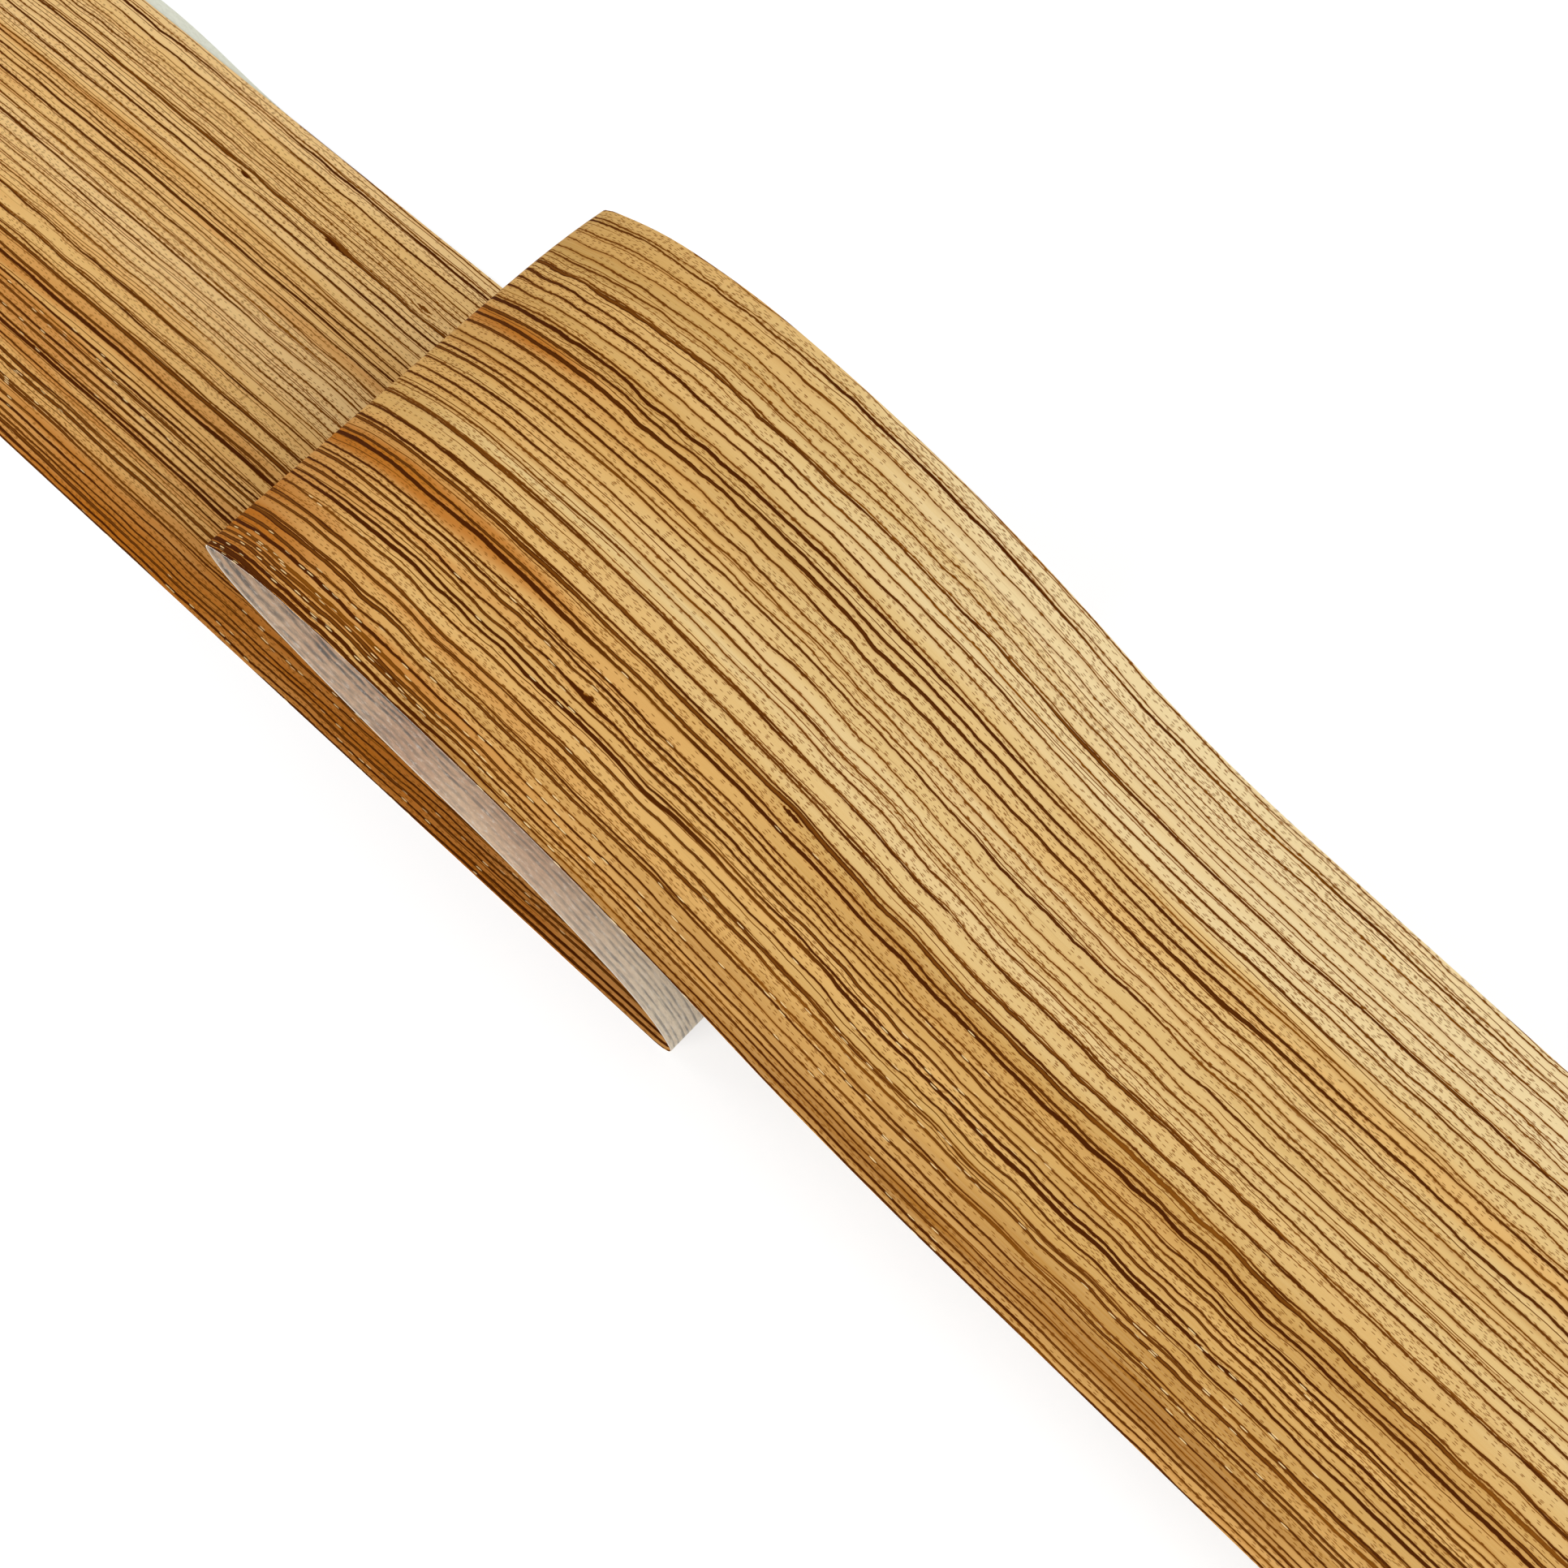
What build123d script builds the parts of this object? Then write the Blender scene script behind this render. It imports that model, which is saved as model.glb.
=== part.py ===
from build123d import *
from math import copysign, cos, radians, sin
import os

# A strip of wood veneer with a fleece backing, lying doubled over itself in a flat S.
# It is followed here from the end of its lower run to the end of its upper run.
# Millimetres. The strip runs along X, is flat across Y, and lies on the floor at Z = 0.
# The tip of the right fold stands over the origin, and both ends are equally far from it.

# The stock
strip_length = 2500.0
strip_width = 200.0
leaf_thickness = 0.3
backing_thickness = 0.2

# Right fold: the lower run turns up off the floor and back over itself.
# A slope is the way the strip heads where a bend ends, in degrees turned up from +X.
toe_radius = 11.0
toe_slope = 103.0
heel_radius = 55.0
heel_slope = 150.0

# Middle run: back side up, it leans left and then starts to lift.
lean_radius = 195.0
lean_slope = 173.0
lift_radius = 340.0
lift_slope = 155.0

# Left fold: a soft round below, the tightest round at the outer edge, a broad shoulder.
rise_radius = 26.0
rise_slope = 102.0
fold_radius = 7.0
fold_slope = 33.0
shoulder_radius = 90.0
shoulder_slope = 0.0

# Upper run: it falls from the crest, eases out and comes down straight to the floor.
fall_radius = 480.0
fall_slope = -25.0
ease_radius = 350.0
descent_slope = -9.0
landing_radius = 400.0

bends = [
    (toe_radius, toe_slope),
    (heel_radius, heel_slope),
    (lean_radius, lean_slope),
    (lift_radius, lift_slope),
    (rise_radius, rise_slope),
    (fold_radius, fold_slope),
    (shoulder_radius, shoulder_slope),
    (fall_radius, fall_slope),
    (ease_radius, descent_slope),
]

# Where the glue line has got to after its last bend in the air
reach = -toe_radius
height = 0.0
bent_length = 0.0
slope = 0.0
for radius, next_slope in bends:
    side = copysign(radius, next_slope - slope)
    reach += side * (sin(radians(next_slope)) - sin(radians(slope)))
    height -= side * (cos(radians(next_slope)) - cos(radians(slope)))
    bent_length += radius * radians(abs(next_slope - slope))
    slope = next_slope

# The straight descent is as long as it takes to end in the landing bend at floor level
descent = radians(-descent_slope)
landing_drop = landing_radius * (1.0 - cos(descent))
descent_length = (height - landing_drop) / sin(descent)
reach += descent_length * cos(descent) + landing_radius * sin(descent)
bent_length += descent_length + landing_radius * descent

# What is left of the stock is shared out so that both ends are equally far from the origin
half_length = (strip_length - bent_length + toe_radius + reach) / 2.0


def side_line(above):
    """Side view of the strip, as one line at a distance above its glue line."""
    level = backing_thickness + above
    run = [Line((-half_length, level), (-toe_radius, level))]
    slope = 0.0
    for radius, next_slope in bends:
        turn = next_slope - slope
        run.append(JernArc(run[-1] @ 1, run[-1] % 1, radius - copysign(1.0, turn) * above, turn))
        slope = next_slope
    run.append(Line(run[-1] @ 1, run[-1] @ 1 + (run[-1] % 1) * descent_length))
    run.append(JernArc(run[-1] @ 1, run[-1] % 1, landing_radius - above, -slope))
    run.append(Line(run[-1] @ 1, (half_length, level)))
    return run


def ply(lower, upper):
    """One ply of the strip, between two lines at a distance above the glue line."""
    under = side_line(lower)
    over = side_line(upper)
    ends = [Line(under[0] @ 0, over[0] @ 0), Line(under[-1] @ 1, over[-1] @ 1)]
    section = Plane.XZ * Face(Wire(under + over + ends))
    return extrude(section, strip_width / 2.0, both=True)


veneer_leaf = ply(0.0, leaf_thickness)
fleece_backing = ply(-backing_thickness, 0.0)

os.makedirs("parts", exist_ok=True)
export_step(veneer_leaf, "parts/veneer_leaf.step")
export_step(fleece_backing, "parts/fleece_backing.step")
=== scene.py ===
from functools import reduce
from math import copysign, cos, pi, radians, sin

import bmesh
import bpy
import numpy as np
from mathutils import Matrix, Vector


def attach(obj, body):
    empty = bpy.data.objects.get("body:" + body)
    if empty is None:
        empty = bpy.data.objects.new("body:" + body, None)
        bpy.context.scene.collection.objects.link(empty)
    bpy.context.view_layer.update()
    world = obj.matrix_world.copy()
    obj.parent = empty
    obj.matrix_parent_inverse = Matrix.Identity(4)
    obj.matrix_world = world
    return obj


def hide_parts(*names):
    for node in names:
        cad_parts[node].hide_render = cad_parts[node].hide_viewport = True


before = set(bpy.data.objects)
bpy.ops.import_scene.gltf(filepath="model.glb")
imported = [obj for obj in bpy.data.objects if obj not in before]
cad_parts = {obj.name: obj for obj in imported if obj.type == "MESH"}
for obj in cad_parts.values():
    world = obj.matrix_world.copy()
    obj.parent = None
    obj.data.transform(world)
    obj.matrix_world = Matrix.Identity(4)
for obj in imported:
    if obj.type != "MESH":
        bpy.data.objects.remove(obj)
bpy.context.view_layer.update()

# The veneer leaf.
# One strip of quarter-cut zebrano, sliced 0.3 mm thick and lying doubled over in a flat S.
# It is swept here from the end of its lower run to the end of its upper run, face side out.
strip_length = 2.5
strip_width = 0.2
leaf_thickness = 0.0003
backing_thickness = 0.0002
toe_radius = 0.011
landing_radius = 0.4
descent_slope = -9.0

# Radius of each bend, and the way the strip heads where it ends, in degrees up from +X
bends = [
    (toe_radius, 103.0),
    (0.055, 150.0),
    (0.195, 173.0),
    (0.34, 155.0),
    (0.026, 102.0),
    (0.007, 33.0),
    (0.09, 0.0),
    (0.48, -25.0),
    (0.35, descent_slope),
]

# By how much the left fold stands out, hangs lower and is rounded on its far side, and how
# much further the right fold reaches on its near side
fold_out = 0.006
fold_drop = 0.0065
fold_rounding = 0.012
toe_reach = 0.0028

# How finely the mesh is divided: across the strip, along its runs, and round its bends
cuts_across = 24
run_step = 0.01
bend_step = 0.008
bend_step_degrees = 4.0

# Pin knots: where each lies, along and across, and how far its dark heart reaches along
pin_knots = [
    ((1.492, 0.069), 0.0055),
    ((1.417, 0.048), 0.0016),
    ((0.565, 0.164), 0.0045),
    ((0.624, 0.165), 0.0055),
    ((0.68, 0.169), 0.0045),
]

# Redder patches of painted warm shade: where each lies, along and across, and how far it reaches
# either way
painted_shade_patches = [
    ((1.23, 0.0), (0.21, 0.13)),
    ((1.29, 0.064), (0.22, 0.014)),
    ((1.24, 0.134), (0.2, 0.012)),
    ((0.76, 0.0), (0.48, 0.06)),
]

# Growth lines to a metre of the width: the main ones, and the finer ones between them
lines_a_metre = 228.0
fine_lines_a_metre = 330.0

# Colours of the wood between its lines, from its darkest tone to its palest
wood_tones = [
    (0.0, (0.38, 0.16, 0.026, 1.0)),
    (0.2, (0.50, 0.25, 0.055, 1.0)),
    (0.4, (0.61, 0.35, 0.098, 1.0)),
    (0.6, (0.685, 0.435, 0.155, 1.0)),
    (0.8, (0.755, 0.53, 0.225, 1.0)),
    (1.0, (0.84, 0.66, 0.36, 1.0)),
]
straw_fibre = (0.86, 0.67, 0.36, 1.0)
orange_wood = (0.77, 0.45, 0.15, 1.0)
# the red of the wood, and of the painted warm shade in the patches
red_wood_and_shade = (0.49, 0.147, 0.009, 1.0)
late_wood = (0.39, 0.145, 0.012, 1.0)
open_pore = (0.24, 0.08, 0.006, 1.0)
line_edge = (0.29, 0.095, 0.006, 1.0)
line_black = (0.07, 0.014, 0.0005, 1.0)
line_brown = (0.17, 0.051, 0.004, 1.0)
# the colour of the painted highlights on the seal
painted_glint = (1.0, 0.74, 0.36, 1.0)


def fold_lengths():
    """The straight descent's length, half the ground that the strip covers, and how far out
    the upper run comes down flat on the floor."""
    reach, height, bent, slope = -toe_radius, 0.0, 0.0, 0.0
    for radius, next_slope in bends:
        side = copysign(radius, next_slope - slope)
        reach += side * (sin(radians(next_slope)) - sin(radians(slope)))
        height -= side * (cos(radians(next_slope)) - cos(radians(slope)))
        bent += radius * radians(abs(next_slope - slope))
        slope = next_slope
    fall = radians(-descent_slope)
    descent = (height - landing_radius * (1.0 - cos(fall))) / sin(fall)
    reach += descent * cos(fall) + landing_radius * sin(fall)
    bent += descent + landing_radius * fall
    return descent, (strip_length - bent + toe_radius + reach) / 2.0, reach


descent_length, half_length, landing = fold_lengths()


def label(ring, flat, along):
    """Keep on one row of points how far along the strip it lies."""
    for v in {v for e in ring for v in e.verts}:
        v[flat] = (along, v[flat].y, 0.0)


def lies_across(edge, flat):
    """Whether an edge runs across the strip, and not along it."""
    a, b = edge.verts
    return abs(a[flat].y - b[flat].y) >= 1e-6


def add_run(bm, flat, ring, along, length, slope):
    """Carry the strip straight on from its last row of edges."""
    count = max(2, round(length / run_step))
    step = Vector((cos(radians(slope)), 0.0, sin(radians(slope)))) * length / count
    for _ in range(count):
        made = bmesh.ops.extrude_edge_only(bm, edges=ring)["geom"]
        ring = [g for g in made if isinstance(g, bmesh.types.BMEdge) and lies_across(g, flat)]
        bmesh.ops.translate(bm, verts=list({v for e in ring for v in e.verts}), vec=step)
        along += length / count
        label(ring, flat, along)
    return ring, along


def add_bend(bm, flat, ring, along, radius, turn, slope):
    """Carry the strip on round a bend from its last row of edges."""
    side = copysign(1.0, turn)
    at = ring[0].verts[0].co
    out = Vector((-sin(radians(slope)), 0.0, cos(radians(slope)))) * radius * side
    centre = Vector((at.x, 0.0, at.z)) + out
    arc = radius * radians(abs(turn))
    count = max(3, round(abs(turn) / bend_step_degrees), round(arc / bend_step))
    for _ in range(count):
        made = bmesh.ops.spin(
            bm, geom=ring, cent=centre, axis=(0.0, -side, 0.0),
            angle=radians(abs(turn)) / count, steps=1, use_duplicate=False)["geom_last"]
        ring = [g for g in made if isinstance(g, bmesh.types.BMEdge)]
        along += arc / count
        label(ring, flat, along)
    return ring, along


def swept_surface():
    """The glue surface between the plies. Every point keeps its place on the flat strip, as
    "flat": metres along it, metres across it."""
    bm = bmesh.new()
    flat = bm.verts.layers.float_vector.new("flat")
    corners = [bm.verts.new((-half_length, side * strip_width / 2.0, backing_thickness))
               for side in (-1.0, 1.0)]
    bm.edges.new(corners)
    bmesh.ops.subdivide_edges(bm, edges=bm.edges[:], cuts=cuts_across)
    for v in bm.verts:
        v[flat] = (0.0, v.co.y + strip_width / 2.0, 0.0)
    slope = 0.0
    ring, along = add_run(bm, flat, bm.edges[:], 0.0, half_length - toe_radius, slope)
    for radius, next_slope in bends:
        ring, along = add_bend(bm, flat, ring, along, radius, next_slope - slope, slope)
        slope = next_slope
    ring, along = add_run(bm, flat, ring, along, descent_length, slope)
    ring, along = add_bend(bm, flat, ring, along, landing_radius, -slope, slope)
    add_run(bm, flat, ring, along, half_length - landing, 0.0)
    return bm


def swell(value, start, top, end):
    """A smooth rise from 0 at the start to 1 at the top, and back to 0 at the end."""
    share = (value - start) / (top - start) if value < top else (end - value) / (end - top)
    share = min(max(share, 0.0), 1.0)
    return share * share * (3.0 - 2.0 * share)


def vary_folds(bm):
    """Towards its far side the left fold is rounder, hangs lower and stands further out, and
    towards its near side the right fold reaches a little further."""
    flat = bm.verts.layers.float_vector["flat"]
    side = sorted((v[flat].x, v.co.x, v.co.z) for v in bm.verts if v[flat].y < 1e-6)
    side_along, side_x, side_z = zip(*side)
    for v in bm.verts:
        along = v[flat].x
        far = v[flat].y / strip_width
        # to round it, each point goes to the mean place of its span of the strip
        span = fold_rounding * far ** 6 * max(0.0, 1.0 - ((along - 1.275) / 0.045) ** 2)
        round_it = along + span * np.linspace(-1.0, 1.0, 9)
        out = fold_out * far * swell(along, 1.13, 1.245, 1.445)
        drop = fold_drop * far * swell(along, 1.24, 1.285, 1.365)
        toe = toe_reach * (1.0 - far) * swell(along, 0.95, 1.0, 1.09)
        v.co.x = np.interp(round_it, side_along, side_x).mean() - out + toe
        v.co.z = np.interp(round_it, side_along, side_z).mean() - drop


def swept_strip(thickness):
    """One ply of the folded strip: a thin solid on one side of the glue surface."""
    bm = swept_surface()
    vary_folds(bm)
    # the face side is up on the lower run
    bm.normal_update()
    if next(iter(bm.faces)).normal.z < 0.0:
        bmesh.ops.reverse_faces(bm, faces=bm.faces[:])
    bmesh.ops.solidify(bm, geom=bm.faces[:], thickness=-thickness)
    bmesh.ops.recalc_face_normals(bm, faces=bm.faces[:])
    for e in bm.edges:
        e.smooth = e.calc_face_angle(0.0) < radians(40.0)
    for f in bm.faces:
        f.smooth = True
    return bm


def piece_from(bm, name, material):
    mesh = bpy.data.meshes.new(name)
    bm.to_mesh(mesh)
    bm.free()
    mesh.materials.append(material)
    piece = bpy.data.objects.new(name, mesh)
    bpy.context.scene.collection.objects.link(piece)
    return piece


class Nodes:
    """Short hand for laying out shader nodes in one tree."""

    def __init__(self, tree):
        self.tree = tree

    def add(self, kind, inputs=None, **settings):
        node = self.tree.nodes.new(kind)
        for key, value in settings.items():
            setattr(node, key, value)
        for key, value in (inputs or {}).items():
            self.put(node.inputs[key], value)
        return node

    def put(self, socket, value):
        if isinstance(value, bpy.types.NodeSocket):
            self.tree.links.new(value, socket)
        else:
            socket.default_value = value

    def math(self, operation, *values, clamp=False):
        return self.add("ShaderNodeMath", dict(enumerate(values)), operation=operation,
                        use_clamp=clamp).outputs[0]

    def chain(self, operation, values):
        """One math node after another, until all the values are taken in."""
        return reduce(lambda a, b: self.math(operation, a, b), values)

    def plus(self, *values):
        return self.chain("ADD", values)

    def minus(self, a, b):
        return self.math("SUBTRACT", a, b)

    def times(self, *values):
        return self.chain("MULTIPLY", values)

    def scaled(self, value, size, start):
        """A value times a size, counted from a start."""
        return self.math("MULTIPLY_ADD", value, size, start)

    def most(self, *values):
        return self.chain("MAXIMUM", values)

    def least(self, a, b):
        return self.math("MINIMUM", a, b)

    def ramp(self, value, low, high, to_low=0.0, to_high=1.0):
        """A smooth change from one level to another, while the value goes from low to high."""
        return self.add("ShaderNodeMapRange", {
            "Value": value, "From Min": low, "From Max": high, "To Min": to_low,
            "To Max": to_high}, interpolation_type="SMOOTHSTEP").outputs["Result"]

    def fall(self, value, low, high):
        """1 up to low, and smoothly down to 0 at high."""
        return self.ramp(value, low, high, 1.0, 0.0)

    def noise(self, place, along, across, detail=2.0, rough=0.5, seed=0.0):
        """Soft noise, stretched along the strip: how many waves a metre each way."""
        at = self.add("ShaderNodeVectorMath", {0: place, 1: (along, across, 1.0)},
                      operation="MULTIPLY").outputs[0]
        at = self.add("ShaderNodeVectorMath", {0: at, 1: (seed * 3.1, seed * 7.7, seed)},
                      operation="ADD").outputs[0]
        return self.add("ShaderNodeTexNoise", {"Vector": at, "Scale": 1.0, "Detail": detail,
                        "Roughness": rough}).outputs["Fac"]

    def mix(self, factor, a, b):
        node = self.add("ShaderNodeMix", data_type="RGBA")
        self.put(node.inputs["Factor"], factor)
        self.put(node.inputs[6], a)
        self.put(node.inputs[7], b)
        return node.outputs[2]

    def scale_of(self, value, stops):
        """The colour that a value has on a scale of (position, colour) stops."""
        node = self.add("ShaderNodeValToRGB", {"Fac": value})
        scale = node.color_ramp.elements
        for stop, (where, colour) in zip(scale[:], (stops[0], stops[-1])):
            stop.position = where
            stop.color = colour
        for where, colour in stops[1:-1]:
            scale.new(where).color = colour
        return node.outputs["Color"]


class Figure(Nodes):
    """Nodes for the wood's figure, which goes by the place on the flat strip."""

    def __init__(self, tree):
        super().__init__(tree)
        self.place = self.add("NodeGroupInput").outputs["Place"]
        split = self.add("ShaderNodeSeparateXYZ", {0: self.place}).outputs
        self.along = split["X"]
        self.across = split["Y"]
        self.mark_parts()
        self.move_lines()

    def mark_parts(self):
        """Masks for parts of the strip, that fade to 0 in the rest of it."""
        self.lower = self.fall(self.along, 1.0, 1.15)
        self.far_half = self.ramp(self.across, 0.09, 0.12)
        # round the left fold, and further past it on the far half
        past_fold = self.scaled(self.far_half, 0.16, 1.34)
        self.by_fold = self.times(self.ramp(self.along, 1.0, 1.2),
                                  self.fall(self.along, 1.25, past_fold))
        # the middle of the lower run's width
        self.middle = self.times(self.ramp(self.across, 0.05, 0.1),
                                 self.fall(self.across, 0.14, 0.17), self.lower)
        # the near corner of the left fold, and the near edge of the lower run
        self.corner = self.most(
            self.ramp(self.away_from((1.25, 0.0), (0.19, 0.034)), 0.4, 1.0, 1.0, 0.0),
            self.ramp(self.away_from((0.46, 0.0), (0.24, 0.045)), 0.4, 1.0, 0.8, 0.0))

    def move_lines(self):
        """The way across that the lines go by: it drifts slowly, ripples where the grain of
        the log did, and parts round the pin knots, whose hearts are dark flecks."""
        wavy = self.ramp(self.noise(self.place, 4.0, 14.0, detail=1.0, seed=1.0),
                         0.4, 0.62, 0.25, 1.0)
        self.rippled = self.times(wavy, self.scaled(self.lower, -0.45, 1.0))
        ripple = self.swing(self.noise(self.place, 30.0, 30.0, detail=1.0, seed=2.0), 0.0037)
        drift = self.swing(self.noise(self.place, 2.0, 5.0, detail=1.0, seed=3.0), 0.012)
        self.moved = self.plus(self.across, drift, self.times(ripple, self.rippled))
        self.hearts = 0.0
        for centre, heart in pin_knots:
            parted = self.ramp(self.away_from(centre, (0.017, 0.0055)), 0.0, 1.0, 0.75, 0.0)
            self.moved = self.plus(self.moved,
                                   self.times(self.minus(centre[1], self.across), parted))
            torn = self.swing(self.noise(self.place, 500.0, 900.0, detail=1.0, seed=6.0), 1.6)
            heart_edge = self.plus(self.away_from(centre, (heart, 0.0009)), torn)
            self.hearts = self.most(self.hearts, self.fall(heart_edge, 0.6, 1.1))

    def swing(self, value, size):
        """Noise turned into a swing to both sides of nought."""
        return self.times(self.minus(value, 0.5), size)

    def away_from(self, centre, size):
        """How far a point lies from a place on the strip: 0 there, 1 on an oval round it."""
        off = self.add("ShaderNodeVectorMath", {0: self.place, 1: (*centre, 0.0)},
                       operation="SUBTRACT").outputs[0]
        off = self.add("ShaderNodeVectorMath", {0: off, 1: (*size, 1.0)},
                       operation="DIVIDE").outputs[0]
        return self.add("ShaderNodeVectorMath", {0: off}, operation="LENGTH").outputs["Value"]

    def by_width(self, levels):
        """A level that changes across the strip: (millimetres from the near edge, level)."""
        stops = [(where / 1000.0 / strip_width, (level, level, level, 1.0))
                 for where, level in levels]
        return self.scale_of(self.math("DIVIDE", self.moved, strip_width), stops)

    def line_set(self, at):
        """Growth lines, one to a step of the count: how far each point lies from its nearest
        line, that line's chance numbers, and the line's own place, for noise along it."""
        nearest = self.add("ShaderNodeTexVoronoi", {"W": at, "Scale": 1.0, "Randomness": 1.0},
                           voronoi_dimensions="1D", feature="F1").outputs
        chance = self.add("ShaderNodeSeparateColor", {0: nearest["Color"]}).outputs
        line = self.add("ShaderNodeCombineXYZ", {0: self.along, 1: nearest["W"]}).outputs[0]
        slow = self.swing(self.noise(line, 24.0, 4.7, detail=1.0), 0.5)
        quick = self.swing(self.noise(line, 75.0, 3.1, rough=0.6), 0.5)
        sway = self.plus(slow, self.times(quick, self.rippled))
        return self.minus(self.minus(at, nearest["W"]), sway), chance, line

    def dashes(self, along_count, across_count, number, few, size):
        """Short dashes along the grain, in a share of the cells of a scattered grid."""
        at = self.add("ShaderNodeVectorMath", {0: self.place, 1: (along_count, across_count, 1.0)},
                      operation="MULTIPLY").outputs[0]
        cell = self.add("ShaderNodeTexVoronoi", {"Vector": at, "Scale": 1.0, "Randomness": 1.0},
                        voronoi_dimensions="2D", feature="F1").outputs
        luck = self.add("ShaderNodeSeparateColor", {0: cell["Color"]}).outputs[number]
        return self.times(self.fall(cell["Distance"], size * 0.7, size),
                          self.math("GREATER_THAN", luck, few))


def main_lines(fig):
    """The main growth lines, each thin or thick by chance and swelling along its way. They
    stand some 4 mm apart, and under 3 mm by the near edge. With them come how brown each is,
    the late wood beside it, how far off it is, and its own place."""
    heavy = fig.by_width((
        (2, 0.85), (15, 0.92), (35, 0.8), (55, 0.82), (66, 0.92), (76, 0.62), (108, 0.57),
        (115, 0.46), (124, 0.62), (135, 0.74), (145, 0.58), (165, 0.52), (178, 0.42), (198, 0.34)))
    heavy = fig.times(
        heavy,
        fig.scaled(fig.middle, -0.25, 1.0),
        fig.scaled(fig.times(fig.lower, fig.far_half), 0.15, 1.0),
        fig.plus(fig.times(fig.by_fold, fig.scaled(fig.far_half, 0.34, -0.04)), 1.0),
        fig.ramp(fig.along, 1.35, 1.55, 1.0, 0.9),
        fig.scaled(fig.corner, 0.95, 1.0))
    close = fig.most(fig.scaled(fig.moved, -11.0, 1.0), 0.0)
    close = fig.times(close, close, -6.5)
    beside, chance, line = fig.line_set(fig.scaled(fig.moved, lines_a_metre, close))
    swelling = fig.ramp(fig.noise(line, 10.0, 2.9, rough=0.6), 0.28, 0.72, 0.6, 1.4)
    half_width = fig.scaled(fig.math("POWER", chance[0], 2.5), 0.19, 0.125)
    half_width = fig.times(half_width, swelling, heavy)
    # none takes up more than about half of its spacing, or three quarters in the corner
    half_width = fig.least(half_width, fig.scaled(fig.corner, 0.13, 0.24))
    ragged = fig.swing(fig.noise(fig.place, 380.0, 900.0, rough=0.7), 0.14)
    away = fig.plus(fig.math("ABSOLUTE", beside), ragged)
    main = fig.fall(away, fig.minus(half_width, 0.02), fig.plus(half_width, 0.025))
    main = fig.times(main, fig.ramp(fig.noise(line, 7.0, 1.9, detail=1.0), 0.3, 0.42, 0.65, 1.0))

    # some thick lines have a brown core, and thin lines are brown all through
    core = fig.fall(fig.math("DIVIDE", away, half_width), 0.35, 0.7)
    brown = fig.times(core, fig.ramp(half_width, 0.1, 0.16), fig.ramp(chance[2], 0.3, 0.6))
    brown = fig.most(brown, fig.fall(half_width, 0.06, 0.12))

    # late wood is a warm shade close to a line, that reaches further on one side of it
    reach = fig.scaled(fig.math("LESS_THAN", beside, 0.0), fig.times(chance[1], 0.35), 0.27)
    late = fig.fall(fig.math("ABSOLUTE", beside), 0.06, reach)
    late = fig.times(late, heavy, fig.scaled(fig.lower, -0.25, 1.0))
    return main, brown, late, away, line


def fine_lines(fig):
    """Finer lines on a drift of their own, so that lines seem to part and to join."""
    own_drift = fig.swing(fig.noise(fig.place, 3.0, 9.0, detail=1.0, seed=9.0), 0.014)
    count = fig.scaled(fig.plus(fig.moved, own_drift), fine_lines_a_metre, 80.0)
    beside, _, line = fig.line_set(count)
    thin = fig.fall(fig.math("ABSOLUTE", beside), 0.02, 0.09)
    chosen = fig.scaled(fig.lower, 0.14, fig.noise(line, 5.0, 2.1, detail=1.0))
    return fig.times(thin, fig.ramp(chosen, 0.5, 0.6), 0.75)


def wood_tone(fig, line):
    """How pale the wood between the lines is, in soft bands, with painted shade in places."""
    # the levels across the width are partly the wood's own bands and partly painted shade, darkest
    # by the near edge
    tone = fig.by_width((
        (2, 0.08), (15, 0.27), (30, 0.48), (52, 0.58), (66, 0.40), (74, 0.66), (90, 0.72),
        (105, 0.77), (116, 0.84), (126, 0.70), (136, 0.64), (150, 0.80), (165, 0.9), (185, 0.93),
        (198, 1.0)))
    bands = fig.swing(fig.noise(fig.place, 2.5, 40.0, rough=0.55, seed=20.0), 0.8)
    tone = fig.plus(tone, bands, fig.swing(fig.noise(line, 3.0, 1.3, detail=1.0), 0.25))
    # painted shade: it is darker round the left fold, which faces away from the light, than on the
    # runs to both sides of it
    tone = fig.minus(tone, fig.times(fig.by_fold, fig.scaled(fig.far_half, 0.15, 0.37)))
    # darker at the near corner of the left fold and along the near edge of the lower run
    tone = fig.minus(tone, fig.times(fig.corner, 0.2))
    tone = fig.plus(tone, fig.times(fig.middle, 0.2))
    tone = fig.plus(tone, fig.times(fig.ramp(fig.along, 1.4, 1.55), fig.far_half, 0.06))
    # darker by the near edge of the upper run too, partly the wood's own tone and partly painted
    # shade
    near = fig.times(fig.fall(fig.across, 0.05, 0.08), fig.ramp(fig.along, 1.3, 1.5))
    return fig.minus(tone, fig.times(near, 0.17))


def wood_rust_and_shade(fig):
    """How orange the wood is, and past that how red: its own bands, and patches of painted warm
    shade.
    """
    warm = fig.by_width((
        (0, 1.0), (30, 0.8), (60, 0.8), (78, 0.45), (110, 0.3), (120, 0.5), (140, 0.85),
        (150, 0.3), (200, 0.15)))
    warm = fig.plus(warm, fig.ramp(fig.along, 1.3, 1.5, 0.5, 0.0))
    bands = fig.ramp(fig.noise(fig.place, 3.5, 60.0, rough=0.6, seed=26.0), 0.3, 0.65)
    rust_and_shade = fig.most(fig.times(bands, warm, 0.6),
                    fig.times(fig.lower, fig.scaled(warm, 0.18, 0.28)))
    uneven = fig.ramp(fig.noise(fig.place, 7.0, 90.0, rough=0.6, seed=50.0), 0.3, 0.7, 0.75, 1.0)
    # painted warm shade, in patches round the left fold and under the upper run
    for centre, size in painted_shade_patches:
        patch = fig.fall(fig.away_from(centre, size), 0.2, 1.0)
        rust_and_shade = fig.most(rust_and_shade, fig.times(patch, uneven))
    return rust_and_shade


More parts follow.
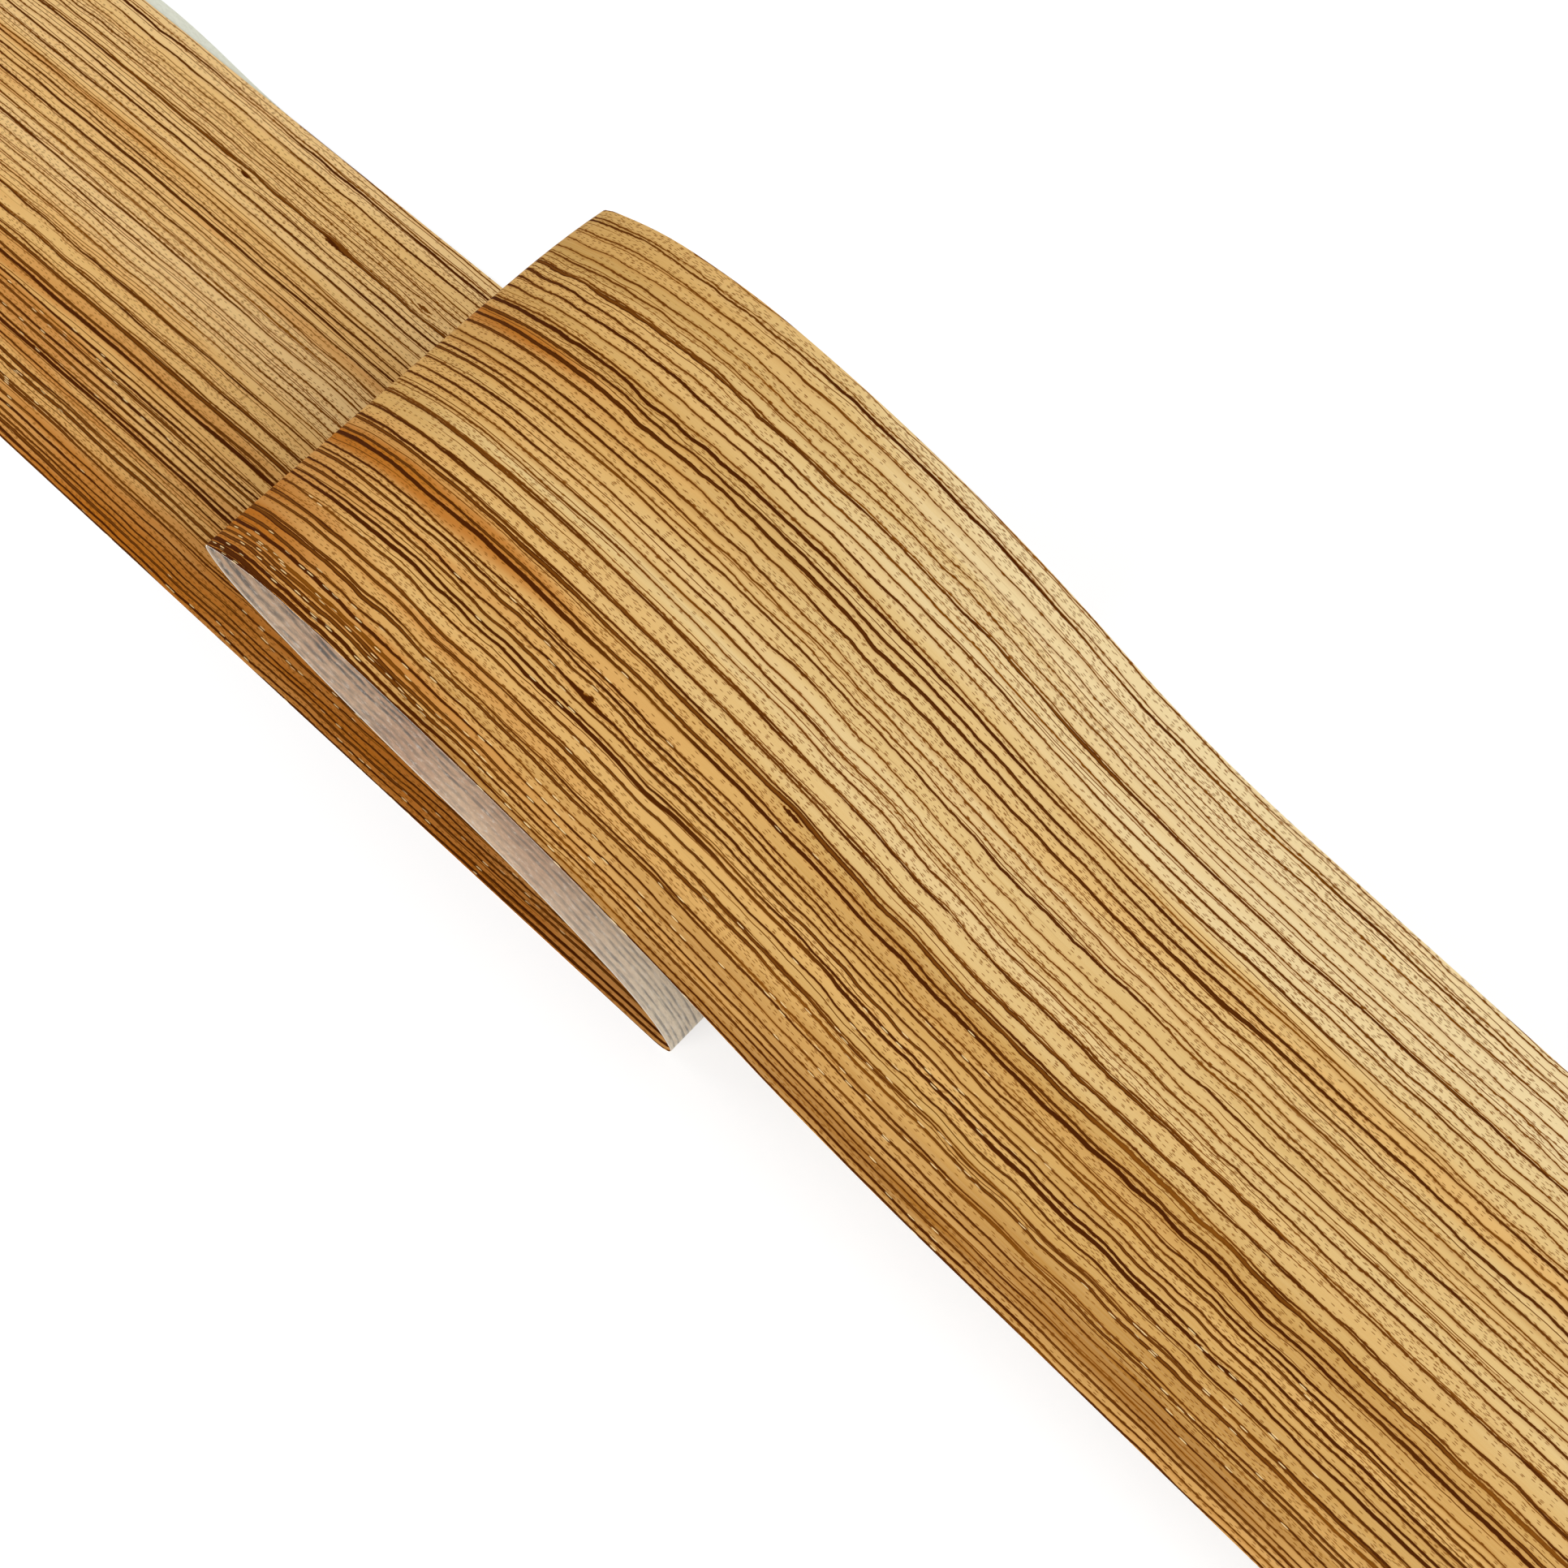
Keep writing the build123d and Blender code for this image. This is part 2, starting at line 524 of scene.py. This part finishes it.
def zebrano_figure():
    """The figure of the wood, by its place on the flat strip: dark growth lines with the
    softer late wood beside them, tone bands, pore dashes and fine fibre."""
    tree = bpy.data.node_groups.new("zebrano_figure", "ShaderNodeTree")
    face = tree.interface
    face.new_socket("Place", in_out="INPUT", socket_type="NodeSocketVector")
    for name in ("Lines", "Line body", "Late wood", "Tone", "Rust and shade", "Pores", "Glints", "Fibre"):
        face.new_socket(name, in_out="OUTPUT", socket_type="NodeSocketFloat")
    fig = Figure(tree)
    main, brown, late, away, line = main_lines(fig)
    few = fig.ramp(fig.noise(fig.place, 5.0, 130.0, detail=1.0, seed=33.0), 0.35, 0.65, 0.85, 0.2)
    pores = fig.dashes(310.0, 1800.0, 0, few, 0.32)
    # pores that open at a line are as dark as the line
    beads = fig.math("MULTIPLY", pores, fig.minus(0.8, fig.ramp(away, 0.1, 0.2)), clamp=True)
    # painted highlights: by the near edge, short pale dashes on the lines stand for the seal
    # catching light on raised fibres
    crowd = fig.ramp(fig.noise(fig.place, 8.0, 50.0, detail=1.0, seed=60.0), 0.4, 0.62, 0.3, 0.0)
    luck = fig.plus(fig.ramp(fig.across, 0.0, 0.085, 0.7, 1.0), crowd)
    glints = fig.times(fig.dashes(150.0, 1300.0, 1, luck, 0.29), fig.fall(away, 0.12, 0.28))
    fig.add("NodeGroupOutput", {
        "Lines": fig.most(main, fine_lines(fig), beads, fig.hearts),
        "Line body": brown,
        "Late wood": late,
        "Tone": wood_tone(fig, line),
        "Rust and shade": wood_rust_and_shade(fig),
        "Pores": pores,
        "Glints": glints,
        "Fibre": fig.noise(fig.place, 22.0, 1600.0, rough=0.6, seed=30.0),
    })
    return tree


figure = zebrano_figure()


def new_finish(name):
    """A new material: itself, its nodes and its shader."""
    material = bpy.data.materials.new(name)
    material.use_nodes = True
    return material, Nodes(material.node_tree), material.node_tree.nodes["Principled BSDF"]


def striped_wood():
    """Zebrano under a thin satin seal: straw to orange wood, dark lines, open pores."""
    material, n, shader = new_finish("striped_wood")
    place = n.add("ShaderNodeAttribute", attribute_name="flat").outputs["Vector"]
    grain = n.add("ShaderNodeGroup", {"Place": place}, node_tree=figure).outputs
    colour = n.mix(n.ramp(grain["Fibre"], 0.3, 0.7, 0.0, 0.15),
                   n.scale_of(grain["Tone"], wood_tones), straw_fibre)
    # orange to red wood, and the painted warm shade of the patches
    rust_and_shade = n.mix(n.ramp(grain["Rust and shade"], 0.4, 1.0), orange_wood, red_wood_and_shade)
    colour = n.mix(n.ramp(grain["Rust and shade"], 0.0, 0.7, 0.0, 0.9), colour, rust_and_shade)
    colour = n.mix(n.times(grain["Late wood"], 0.7), colour, late_wood)
    colour = n.mix(n.times(grain["Pores"], 0.85), colour, open_pore)
    # a line is brown where it starts and fades, and nearly black at its full depth
    colour = n.mix(n.ramp(grain["Lines"], 0.0, 0.55), colour, line_edge)
    line = n.mix(grain["Line body"], line_black, line_brown)
    colour = n.mix(n.ramp(grain["Lines"], 0.3, 1.0), colour, line)
    # painted highlights, where the seal catches light
    colour = n.mix(n.times(grain["Glints"], 0.85), colour, painted_glint)
    n.put(shader.inputs["Base Color"], colour)
    relief = n.plus(n.times(grain["Lines"], -0.6), n.times(grain["Pores"], -0.8),
                    n.times(grain["Fibre"], 0.5))
    bump = n.add("ShaderNodeBump", {"Strength": 0.35, "Distance": 0.0002, "Height": relief})
    n.put(shader.inputs["Normal"], bump.outputs["Normal"])
    n.put(shader.inputs["Roughness"], n.scaled(grain["Lines"], 0.15, 0.5))
    shader.inputs["Specular IOR Level"].default_value = 0.02
    return material


leaf = piece_from(swept_strip(leaf_thickness), "leaf", striped_wood())
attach(leaf, "root")
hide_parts("veneer_leaf")

# The fleece backing.
# A thin sheet of pressed cellulose and textile fibre glued all over the back of the leaf.
# It is thin enough that the wood's lines show through it, blurred and greyed.
cut_edge = 0.00035
fleece_shade = (0.71, 0.49, 0.34, 1.0)
fleece_light = (0.89, 0.69, 0.49, 1.0)
fleece_highlight = (0.98, 0.90, 0.72, 1.0)
showing_line = (0.20, 0.19, 0.185, 1.0)
dark_fibre = (0.34, 0.27, 0.22, 1.0)
pale_fibre = (0.97, 0.93, 0.87, 1.0)
cut_fibre = (0.95, 0.88, 0.76, 1.0)
bare_shade = (0.62, 0.63, 0.52, 1.0)
bare_light = (0.70, 0.71, 0.60, 1.0)

# A sliver of it stands out past the far edge of the lower run: its middle, half its length,
# and how far it stands out there
sliver_along = 0.46
sliver_half_length = 0.105
sliver_reach = 0.0055


def pressed_fleece():
    """Pressed fibre, mottled and matt, with the figure of the wood showing through."""
    material, n, shader = new_finish("pressed_fleece")
    place = n.add("ShaderNodeAttribute", attribute_name="flat").outputs["Vector"]
    grain = n.add("ShaderNodeGroup", {"Place": place}, node_tree=figure).outputs
    along, across = n.add("ShaderNodeSeparateXYZ", {0: place}).outputs[:2]
    cloud = n.ramp(n.noise(place, 14.0, 40.0, rough=0.6, seed=44.0), 0.35, 0.65)
    colour = n.mix(cloud, fleece_shade, fleece_light)
    # painted highlight: it is paler by the right fold, where light falls on it
    colour = n.mix(n.ramp(along, 1.02, 1.12, 0.8, 0.0), colour, fleece_highlight)
    streaks = n.scaled(grain["Lines"], 0.5, n.times(grain["Late wood"], 0.4))
    broken = n.ramp(n.noise(place, 90.0, 500.0, detail=3.0, rough=0.7, seed=42.0),
                    0.35, 0.6, 0.2, 1.0)
    showing = n.ramp(n.noise(place, 6.0, 90.0, detail=1.0, seed=46.0), 0.35, 0.6, 0.4, 1.0)
    colour = n.mix(n.times(streaks, broken, showing), colour, showing_line)
    mottle = n.noise(place, 260.0, 900.0, detail=4.0, rough=0.75, seed=40.0)
    colour = n.mix(n.ramp(mottle, 0.3, 0.55, 0.35, 0.0), colour, dark_fibre)
    colour = n.mix(n.ramp(mottle, 0.52, 0.68, 0.0, 0.6), colour, pale_fibre)
    # the cut edge is plain pale fibre, and what stands out past the wood is bare
    inward = n.least(across, n.minus(strip_width, across))
    colour = n.mix(n.math("LESS_THAN", inward, cut_edge), colour, cut_fibre)
    bare = n.mix(n.ramp(mottle, 0.35, 0.6), bare_shade, bare_light)
    colour = n.mix(n.math("GREATER_THAN", across, strip_width + 0.0001), colour, bare)
    n.put(shader.inputs["Base Color"], colour)
    bump = n.add("ShaderNodeBump", {"Strength": 0.3, "Distance": 0.0002, "Height": mottle})
    n.put(shader.inputs["Normal"], bump.outputs["Normal"])
    shader.inputs["Roughness"].default_value = 0.6
    return material


bm = swept_strip(-backing_thickness)
flat = bm.verts.layers.float_vector["flat"]
for v in bm.verts:
    from_middle = abs(v[flat].x - sliver_along) / sliver_half_length
    if v[flat].y > strip_width - 1e-5 and from_middle < 1.0:
        out = sliver_reach * cos(from_middle * pi / 2.0) ** 2
        v.co.y += out
        v[flat] = v[flat] + Vector((0.0, out, 0.0))
backing = piece_from(bm, "backing", pressed_fleece())
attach(backing, "root")
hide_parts("fleece_backing")

# The studio.
# A floor and a sky that stay white round the strip, so that only its soft shadow shows.
# Three square lamps light it: the main one high on the right, and weaker ones near and left.


def seen(n):
    """1 where a surface is looked at, straight or in a gloss, and 0 where it lights others."""
    rays = n.add("ShaderNodeLightPath").outputs
    return n.most(rays["Is Camera Ray"], rays["Is Glossy Ray"], rays["Is Transmission Ray"])


def grey(level):
    return level, level, level, 1.0


bm = bmesh.new()
bmesh.ops.create_grid(bm, x_segments=1, y_segments=1, size=4.0)
white, n, paper = new_finish("white_floor")
paper.inputs["Roughness"].default_value = 1.0
paper.inputs["Specular IOR Level"].default_value = 0.0
looked_at = seen(n)
n.put(paper.inputs["Base Color"], n.mix(looked_at, grey(0.85), grey(0.4)))
n.put(paper.inputs["Emission Color"], n.mix(looked_at, grey(0.0), grey(1.0)))
paper.inputs["Emission Strength"].default_value = 0.68
floor = piece_from(bm, "floor", white)

world = bpy.data.worlds.new("studio")
bpy.context.scene.world = world
world.use_nodes = True
n = Nodes(world.node_tree)
sky = world.node_tree.nodes["Background"].inputs
sky["Color"].default_value = grey(1.0)
n.put(sky["Strength"], n.scaled(seen(n), 0.6, 0.4))


def soft_lamp(name, place, size, watts):
    """A square lamp that faces the middle of the strip."""
    light = bpy.data.lights.new(name, "AREA")
    light.shape = "SQUARE"
    light.size = size
    light.energy = watts
    lamp = bpy.data.objects.new(name, light)
    lamp.location = place
    lamp.rotation_euler = (-lamp.location).to_track_quat("-Z", "Y").to_euler()
    bpy.context.scene.collection.objects.link(lamp)


soft_lamp("key", (3.0, 0.5, 2.7), 2.6, 98.0)
soft_lamp("near_fill", (-0.4, -1.9, 0.7), 1.0, 26.0)
soft_lamp("left_fill", (-2.4, -0.6, 1.2), 1.2, 15.0)

# The camera, looking down along the strip from its near side
sensor_width = 36.0
picture_width = 1932.0
focal_pixels = 2700.0
camera_place = (0.2127, -0.2328, 0.7926)
right = Vector((0.72613, 0.68713, -0.02433))
down = Vector((0.62069, -0.67032, -0.40672))
ahead = Vector((-0.29578, 0.28023, -0.91323))

lens = bpy.data.cameras.new("camera")
lens.sensor_width = sensor_width
lens.lens = sensor_width * focal_pixels / picture_width
lens.clip_start = 0.01
camera = bpy.data.objects.new("camera", lens)
turn = Matrix((right, -down, -ahead)).transposed()
camera.matrix_world = Matrix.Translation(camera_place) @ turn.to_4x4()
bpy.context.scene.collection.objects.link(camera)
bpy.context.scene.camera = camera

bpy.context.scene.view_settings.view_transform = "Standard"
